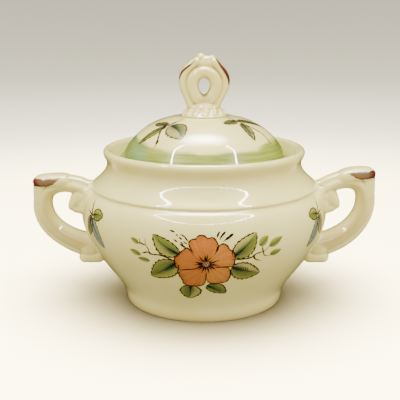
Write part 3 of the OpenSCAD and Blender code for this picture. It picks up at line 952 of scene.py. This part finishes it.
LEAVES = [
    leaf((-12.0, 5.4), (-25.0, 14.4), 4.6, 3.3, ("light", "mid"), 0.9, 1.0, 1.0),
    leaf((-13.6, 0.9), (-26.5, -10.2), 5.7, 5.8, ("light", "mid"), 0.0, 1.0, 2.0),
    leaf((-7.2, -14.4), (-8.1, -26.0), 5.0, 5.0, ("pale", "mid"), 0.3, 0.9, 3.0),
    leaf((0.2, -14.6), (9.6, -21.6), 4.7, 2.7, ("mid", "mid"), 0.0, 0.9, 4.0),
    leaf((12.6, 4.0), (23.6, 15.1), 4.2, 4.9, ("pale", "mid"), -0.6, 1.1, 5.0),
    leaf((11.8, -2.0), (26.3, -7.6), 4.8, 6.2, ("pale", "mid"), -0.4, 1.0, 6.0),
]
BUDS = [leaf(a, b, w, w, ("light", "mid"), 0.0, 0.45, i, 16, 11) for i, (a, b, w) in enumerate([
    ((-32.4, 9.0), (-36.9, 11.2), 1.3), ((-31.6, 2.8), (-37.6, 5.2), 1.5), ((-26.8, 0.2), (-33.4, 1.0), 1.4),
    ((25.2, 8.6), (29.8, 13.0), 2.1), ((30.4, 7.6), (37.9, 11.4), 2.0), ((31.0, 3.0), (37.6, 4.8), 1.7)])]
TWIGS = [
    ([(-14.0, 1.6), (-21.0, 4.2), (-26.2, 4.4), (-27.5, 7.0), (-28.8, 9.0), (-28.9, 12.2)], 0.42),
    ([(-28.6, 8.7), (-31.4, 9.4), (-32.2, 11.6)], 0.36), ([(-31.2, 9.4), (-33.0, 9.0)], 0.3),
    ([(-26.2, 4.4), (-28.0, 5.1), (-31.4, 4.0)], 0.38),
    ([(11.5, 2.6), (17.9, 2.4), (21.5, 3.0), (23.8, 4.6), (27.9, 5.6), (30.4, 7.5)], 0.42),
    ([(26.6, 8.8), (27.4, 5.0), (28.4, 2.9), (31.2, 2.6)], 0.34),
    ([(23.8, 4.6), (22.6, 3.4), (23.6, 1.5), (26.4, 0.3)], 0.46),
]
DASHES = [
    ([(-16.8, 16.9), (-14.3, 16.2)], 0.5), ([(-13.8, 15.1), (-12.9, 14.6)], 0.4),
    ([(-12.0, 15.4), (-10.0, 14.4), (-8.3, 12.2)], 0.42), ([(-12.4, 14.0), (-11.0, 12.9)], 0.5),
    ([(-10.4, 12.0), (-8.7, 10.9)], 0.45), ([(-15.0, 12.9), (-13.2, 11.7)], 0.42),
    ([(-12.2, 10.9), (-9.4, 9.2)], 0.5), ([(-11.6, 11.9), (-10.6, 10.6)], 0.34),
    ([(4.8, 13.8), (5.4, 15.4), (6.2, 16.8)], 0.62), ([(6.0, 12.8), (7.2, 14.8), (8.9, 16.6)], 0.62),
    ([(7.8, 12.0), (9.9, 13.6), (12.6, 15.6)], 0.7),
]


def spray_lines():
    """Outlines, ribs, twigs, stamens and the heart, as brush lines."""
    lines = [brush(p, 2.1 * w, "brown", (0.2, 0.4), i, 0.2) for i, (p, w) in enumerate(TWIGS)]
    lines += [brush(p, 1.5 * w, "black", (0.35, 0.15), i) for i, (p, w) in enumerate(DASHES)]
    for i, wash in enumerate(LEAVES):
        lines.append(brush(edge_of(wash, -1), 0.80, "brown", (0.1, 0.1), i, 0.45))
        lines.append(brush(edge_of(wash, 0), 0.66, "brown", (0.1, 0.1), i + 9, 0.75))
        lines.append(brush(wash[0][:34, 12], 0.95, "black", (0.05, 0.9), i + 4, 0.2))
    for outline, _, seed in PETALS:
        lines.append(brush(outline, 0.78, "brown", (0.1, 0.1), seed, 0.3))
    lines += [brush([(-2.5, -1.6), (-7, -2.9), (-12.2, -3.5)], 0.6, "brown"),
              brush([(2.6, -1.4), (7, -1.5), (12.8, -1.6)], 0.7, "brown"),
              brush([(0.1, -4), (0.0, -8), (-0.2, -12)], 0.5, "brown")]
    # ticks along the ribs of the two lower leaves
    for i in range(6):
        lines.append(brush([(-14.6 - 1.0 * i, 0.2 - 0.8 * i), (-14.1 - 0.9 * i, -2.6 - 0.5 * i)], 0.32, "black"))
        lines.append(brush([(14.0 + 1.1 * i, -1.2 - 0.3 * i), (14.6 + 1.1 * i, -4.6 - 0.3 * i)], 0.26, "brown"))
    angle = np.linspace(0, 2 * math.pi, 27, endpoint=False)
    for i, a in enumerate(angle):
        r0, r1 = 1.6, 5.4 + 1.0 * math.sin(3.7 * i) + 0.5 * math.sin(1.3 * i)
        lean = 0.12 * math.sin(2.2 * i)
        tip = (r1 * math.cos(a + lean), 0.4 + r1 * math.sin(a + lean))
        lines.append(brush([(r0 * math.cos(a), 0.4 + r0 * math.sin(a)), tip], 0.55, "black", (0.05, 0.45), i))
    return lines


def heart():
    """Small dabs of lilac, plum and black crowded in the middle of the flower."""
    dabs = []
    for i in range(34):
        a, r = 2.4 * i, 0.48 * math.sqrt(i)
        c = np.array([1.25 * r * math.cos(a), 0.2 + 0.75 * r * math.sin(a)])
        ink = ("plum", "lilac", "black", "plum", "lilac")[i % 5]
        dabs.append(brush([c - (0.35, 0.1), c + (0.35, 0.1 * math.sin(i))], 0.75, ink, (0.5, 0.5), i))
    return dabs


def paint_spray(where_name, facing):
    """All films of one spray at the given angle round the bowl."""
    wrap = on_bowl(facing, FLOWER_Z)
    shifted = lambda flat, lift: wrap(flat + SPRAY_SHIFT, lift)
    film(f"{where_name}_leaves", LEAVES + BUDS, shifted, WASH_LIFT, "crock")
    film(f"{where_name}_petals", [petal(*p) for p in PETALS], shifted, PETAL_LIFT, "crock")
    film(f"{where_name}_brush_lines", spray_lines() + heart(), shifted, SPRAY_LINE_LIFT, "crock")


paint_spray("front_spray", -90)
paint_spray("back_spray", 90)

# %% [markdown]
# ### The sprigs
# A small sprig hangs beside each handle, a mirror pair, and two larger ones lie on the lid. Only the front
# ones can be known; those at the back repeat them half a turn round.

# %% Side sprigs
def side_sprig(flip):
    """A stem with a round leaf, a narrow leaf and a long grey-green one, in mm from where they meet."""
    m = np.array([flip, 1.0])
    washes = [leaf((0.4, 0.4), (9.8, 1.6), 2.7, 3.1, ("light", "mid"), 0.4, 0.7, 1.0, 30, 19),
              leaf((-1.4, -0.4), (-6.6, -11.6), 3.3, 3.2, ("mid", "deep"), 0.4, 0.8, 2.0, 30, 15),
              leaf((-0.6, -1.4), (8.4, -15.2), 3.4, 3.2, ("grey", "grey"), -0.4, 0.45, 3.0, 34, 15)]
    lines = [brush([(-3.6, 8.2), (-1.6, 3.0), (-0.4, -0.8)], 0.9, "brown", (0.4, 0.1)),
             brush([(-5.6, 1.6), (-2.4, 0.6), (0.4, 0.2), (2.6, 1.0)], 1.3, "brown", (0.3, 0.4), 1.0, 0.3),
             brush([(-0.4, -0.6), (0.4, -3.4), (2.2, -6.4)], 0.9, "brown", (0.2, 0.5))]
    for i, wash in enumerate(washes):
        lines += [brush(edge_of(wash, k), 0.72, "brown", (0.1, 0.1), i + k, 0.5) for k in (0, -1)]
        lines.append(brush(wash[0][:24, wash[0].shape[1] // 2], 0.80, "black", (0.05, 0.7), i, 0.2))
    turned = lambda part: [(flat * m, colour) for flat, colour in part]
    return turned(washes), turned(lines)


for name, facing, flip in (("front_left", -149, 1), ("front_right", -28.4, -1),
                           ("back_left", 149, -1), ("back_right", 28.4, 1)):
    washes, lines = side_sprig(flip)
    wrap = on_bowl(facing, SPRIG_Z)
    film(f"{name}_sprig_leaves", washes, wrap, WASH_LIFT, "crock")
    film(f"{name}_sprig_brush_lines", lines, wrap, LINE_LIFT, "crock")

# %% Lid sprigs
LEFT_LEAVES = [((-16.4, -16.4), (-10.6, -30.2), 4.7, 5.2, ("mid", "pale"), 0.5, 1.2, 1.0),
               ((-18.2, -15.6), (-32.6, -17.4), 2.5, 2.1, ("light", "mid"), 0.8, 1.0, 2.0),
               ((-17.8, -14.4), (-24.6, -6.0), 2.0, 2.0, ("mid", "mid"), 0.5, 0.9, 3.0)]
LEFT_LINES = [([(-9.4, -9.0), (-13.0, -12.6), (-17.4, -15.6)], 0.42), ([(-13.6, -13.4), (-18.6, -16.2)], 0.95),
              ([(-17.6, -15.8), (-21.2, -18.6), (-23.0, -26.2), (-24.6, -28.2)], 0.55),
              ([(-22.4, -25.4), (-23.6, -26.8)], 0.95)]
RIGHT_LEAVES = [((15.8, -10.2), (9.7, -18.2), 2.3, 2.4, ("mid", "mid"), 0.5, 1.0, 4.0),
                ((16.6, -9.6), (29.4, -1.4), 2.3, 2.3, ("mid", "mid"), 0.3, 0.9, 5.0),
                ((18.6, -12.6), (24.2, -23.8), 2.7, 2.5, ("pale", "mid"), 0.3, 1.1, 6.0)]
RIGHT_LINES = [([(10.6, -5.6), (13.6, -8.0), (16.6, -10.6)], 0.38),
               ([(13.4, -10.6), (17.6, -11.2), (21.0, -13.0)], 0.95),
               ([(19.4, -12.4), (24.8, -13.2), (29.2, -13.9), (33.4, -16.4)], 0.5),
               ([(22.0, -17.4), (24.6, -20.4), (24.8, -24.0)], 0.4)]
for name, turn in (("lid_front", 0), ("lid_back", 180)):
    washes = [(flat, 0.72 * colour) for flat, colour in
              (leaf(*args, 34, 21) for args in LEFT_LEAVES + RIGHT_LEAVES)]
    lines = [brush(p, 2.0 * w, "brown", (0.15, 0.15), i, 0.2)
             for i, (p, w) in enumerate(LEFT_LINES + RIGHT_LINES)]
    for i, wash in enumerate(washes):
        lines += [brush(edge_of(wash, k), 0.85, "brown", (0.1, 0.1), i + k, 0.55) for k in (0, -1)]
        lines.append(brush(wash[0][:30, 10], 1.2, "black", (0.05, 0.8), i, 0.2))
    film(f"{name}_sprig_leaves", washes, on_lid(turn), WASH_LIFT, "lid_assembly")
    film(f"{name}_sprig_brush_lines", lines, on_lid(turn), LINE_LIFT, "lid_assembly")

# %% [markdown]
# ## Room, light and camera
# The crock stands in a small light tent: a pale sweep all round, a frame of thin strip lamps above and soft
# light from the ceiling and both sides. Glossy glaze shows the frame as fine bright lines, so its place
# matters. The strips and the glow light the gloss only, and the soft lamps light the matt body only.

# %% Pale sweep
FLOOR_R, BEND_R, WALL_TOP = 0.55, 0.7, 1.3


def sweep_profile():
    """Radius and height, in metres: a flat floor that curves slowly up into a wall."""
    a = np.linspace(0, math.pi / 2, 40)[:, None]
    bend = np.concatenate([FLOOR_R + BEND_R * np.sin(a), BEND_R * (1 - np.cos(a))], 1)
    line = soften(np.concatenate([[[0.0, 0.0], [0.3, 0.0]], bend, [[FLOOR_R + BEND_R, WALL_TOP]]]), 0.06, 0.02)
    line[0] = 0
    return line


line = sweep_profile()
SWEEP_COLS = 96
a = np.linspace(0, 2 * math.pi, SWEEP_COLS, endpoint=False)[None]
ring = np.stack([line[1:, :1] * np.cos(a), line[1:, :1] * np.sin(a), line[1:, 1:] + 0 * a], -1).reshape(-1, 3)
faces = [grid_faces(len(line) - 1, SWEEP_COLS, True), fan_faces(np.arange(SWEEP_COLS), len(ring), True)]
sweep = make_mesh("pale_sweep", np.concatenate([ring, [[0, 0, 0]]]), faces)
paper, tree, shader = start_material("matt_pale_paper", {"Roughness": 0.85})
where = add_node(tree, "ShaderNodeTexCoord").outputs["Object"]
# the light falls off with the distance out from the crock
flat = add_node(tree, "ShaderNodeMapping", [("Vector", where)], {"Scale": (1.0, 1.0, 0.0)})
out = add_node(tree, "ShaderNodeVectorMath", [(0, flat.outputs["Vector"])], operation="LENGTH").outputs["Value"]
far = add_node(tree, "ShaderNodeMapRange", [("Value", out)],
               {"From Min": 0.30, "From Max": 1.0}).outputs["Result"]
shade = set_ramp(add_node(tree, "ShaderNodeValToRGB", [("Fac", far)]),
                 [(0.0, rgba("#FFEFB8")), (0.20, rgba("#D0C8A4")), (0.36, rgba("#ABA48E")),
                  (0.57, rgba("#8C8876")), (0.72, rgba("#6B6858")), (1.0, rgba("#5F5C51"))])
shade.color_ramp.interpolation = "B_SPLINE"
# the paper darkens where the crock shuts out the light of the tent
shut = add_node(tree, "ShaderNodeAmbientOcclusion", inputs={"Distance": 0.065}, samples=12).outputs["AO"]
dim = set_ramp(add_node(tree, "ShaderNodeValToRGB", [("Fac", shut)]),
               [(0.15, (0.07, 0.062, 0.042, 1)), (0.6, (0.36, 0.34, 0.26, 1)), (0.95, (1, 1, 1, 1))])
shaded = add_node(tree, "ShaderNodeMix", [(6, shade.outputs["Color"]), (7, dim.outputs["Color"])], {0: 1.0},
                  data_type="RGBA", blend_type="MULTIPLY")
tree.links.new(shaded.outputs[2], shader.inputs["Base Color"])
sweep.data.materials.append(paper)

# %% Lights
def lamp(name, place, size, watts, turn=(0, 0, 0), lights_up="all"):
    """A rectangular lamp facing down, in metres and watts, itself unseen.

    It lights up the gloss, the matt body, the floor or all of them.
    """
    light = bpy.data.lights.new(name, "AREA")
    light.shape, light.size, light.size_y, light.energy = "RECTANGLE", *size, watts
    light.color = (1.0, 0.985, 0.95)
    obj = bpy.data.objects.new(name, light)
    obj.location, obj.rotation_euler = place, turn
    obj.visible_camera = False
    obj.visible_diffuse, obj.visible_glossy = lights_up != "gloss", lights_up != "matt"
    if lights_up == "floor":
        obj.light_linking.receiver_collection = floor_only
    bpy.context.scene.collection.objects.link(obj)
    return obj


floor_only = bpy.data.collections.new("floor_only")
floor_only.objects.link(sweep)
# a lighting frame on its stand, squarish at the back and round at the front
STRIPS, TUBE, FRAME_Z = 22, 0.018, 0.50
HALF_WIDTH, MIDDLE_Y, BACK, FRONT = 0.33, -0.40, 0.36, -0.38
a = np.linspace(0, 2 * math.pi, 400)
power = np.where(np.sin(a) > 0, 2 / 3.4, 2 / 2.2)
frame_line = np.stack([HALF_WIDTH * np.sign(np.cos(a)) * np.abs(np.cos(a)) ** power,
                       MIDDLE_Y + np.where(np.sin(a) > 0, BACK, FRONT) * np.abs(np.sin(a)) ** power], 1)
corners = along(frame_line, STRIPS + 1)
for i, (first, second) in enumerate(zip(corners[:-1], corners[1:])):
    step, middle = second - first, (first + second) / 2
    # the strips straight over the crock are dimmer, so the lid shows two streaks and not an arch
    watts = float(np.clip((abs(middle[0]) - 0.10) / 0.13, 0.07, 1)) if middle[1] > -0.12 else 1.0
    lamp(f"ring_{i:02d}", (*middle, FRAME_Z), (float(np.linalg.norm(step)), TUBE), watts,
         (0, 0, math.atan2(step[1], step[0])), lights_up="gloss")
# one soft-edged glow behind the frame, from discs of growing size
for i in range(5):
    glow = lamp(f"glow_{i}", (0, 0.03, FRAME_Z + 0.015 + 0.002 * i), (0.14 + 0.06 * i, 0.08 + 0.045 * i),
                0.8 + 0.66 * i, lights_up="gloss")
    glow.data.shape = "ELLIPSE"
lamp("ceiling", (0, -0.25, 0.70), (0.9, 0.9), 16.0, lights_up="matt")
lamp("right_fill", (0.7, -0.35, 0.25), (0.5, 0.5), 7.0, (0, 1.25, -0.45), lights_up="matt")
lamp("left_fill", (-0.7, -0.35, 0.25), (0.5, 0.5), 5.2, (0, -1.25, 0.45), lights_up="matt")
lamp("floor_wash", (0, -0.1, 1.1), (1.3, 1.3), 150.0, lights_up="floor")
# the crock takes its soft fill from the tent's air, bright above and dim below, and not from the paper
sweep.visible_diffuse = sweep.visible_glossy = False

world = bpy.data.worlds.new("tent")
bpy.context.scene.world = world
world.use_nodes = True
tree = world.node_tree
# the tent is bright above and behind, dim on a level with the crock, and a little lighter from the floor
sky = add_node(tree, "ShaderNodeTexCoord").outputs["Generated"]
up = add_node(tree, "ShaderNodeVectorMath", [(0, sky)], {1: (0.0, 0.5, 1.0)},
              operation="DOT_PRODUCT").outputs["Value"]
height = add_node(tree, "ShaderNodeMapRange", [("Value", up)],
                  {"From Min": -1.0, "From Max": 1.0}).outputs["Result"]
air = set_ramp(add_node(tree, "ShaderNodeValToRGB", [("Fac", height)]),
               [(0.25, rgba("#D0CAB4")), (0.50, rgba("#8A8676")), (0.85, rgba("#FFFDF6"))])
tree.links.new(air.outputs["Color"], tree.nodes["Background"].inputs["Color"])
tree.nodes["Background"].inputs["Strength"].default_value = 1.4
# glaze mirrors the lamps only, so that the painted colours keep their depth
world.cycles_visibility.glossy = False

# %% Camera
eye = bpy.data.cameras.new("eye")
eye.lens, eye.sensor_width, eye.clip_start = 72.0, 36.0, 0.01
camera = bpy.data.objects.new("eye", eye)
camera.location = (-0.0021, -0.410, 0.1534)
LOOKS_DOWN = 0.242
camera.rotation_euler = (math.pi / 2 - LOOKS_DOWN, 0, 0)
bpy.context.scene.collection.objects.link(camera)
bpy.context.scene.camera = camera

# %% Update the scene
bpy.context.view_layer.update()
